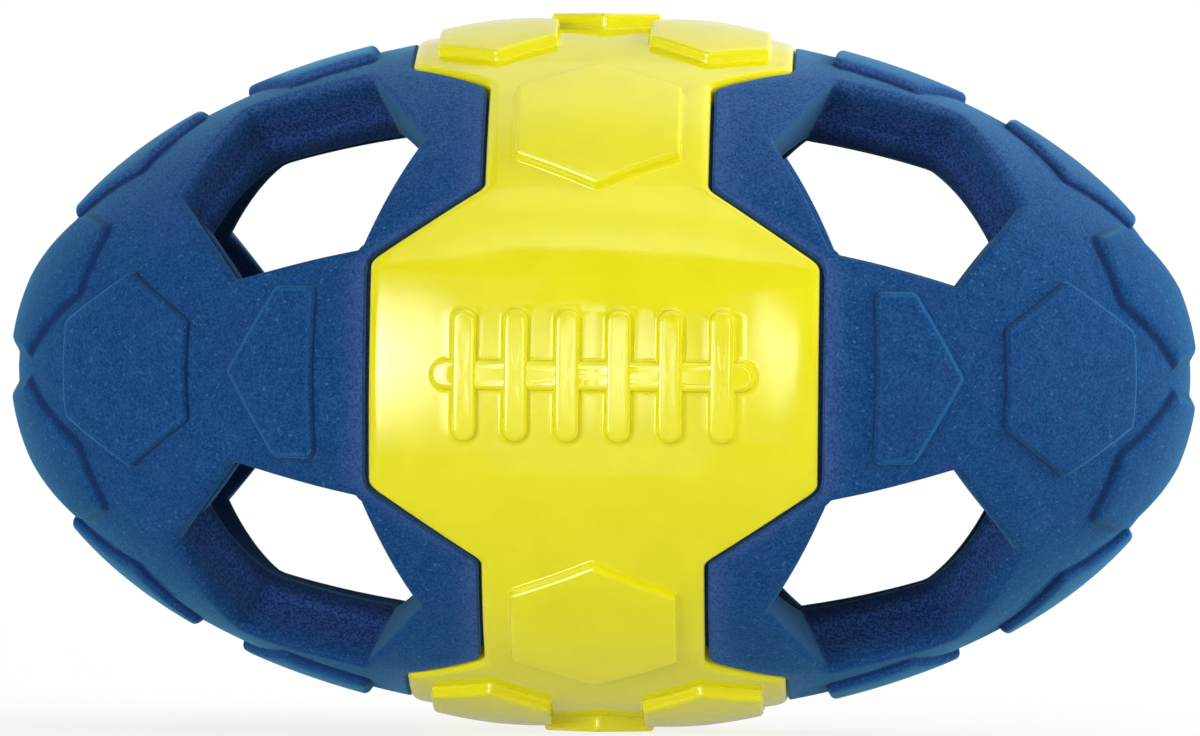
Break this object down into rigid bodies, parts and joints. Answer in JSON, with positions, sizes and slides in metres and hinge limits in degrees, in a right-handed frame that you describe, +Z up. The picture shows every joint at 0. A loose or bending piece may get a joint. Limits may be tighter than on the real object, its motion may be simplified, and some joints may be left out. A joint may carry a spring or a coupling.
{
  "type": "dog fetch football",
  "caption": "Hollow egg-shaped fetch toy for dogs: foam-rubber half shells with hexagonal jaw windows and raised hexagon grip plates, joined under a glossy rubber belt.",
  "frame": {"origin": "on the floor, at the middle of the flat rest pad under the ball", "axes": "+X along the ball's long axis, -Y out of the front belt panel, +Z up"},
  "size_m": [0.1656, 0.099, 0.1],
  "materials": {
    "blue_foam_rubber": "matte foamed rubber with a fine speckled skin",
    "yellow_rubber": "glossy moulded rubber"
  },
  "bodies": {
    "root": {"left_shell": "blue_foam_rubber", "right_shell": "blue_foam_rubber", "belt": "yellow_rubber"}
  },
  "joints": []
}
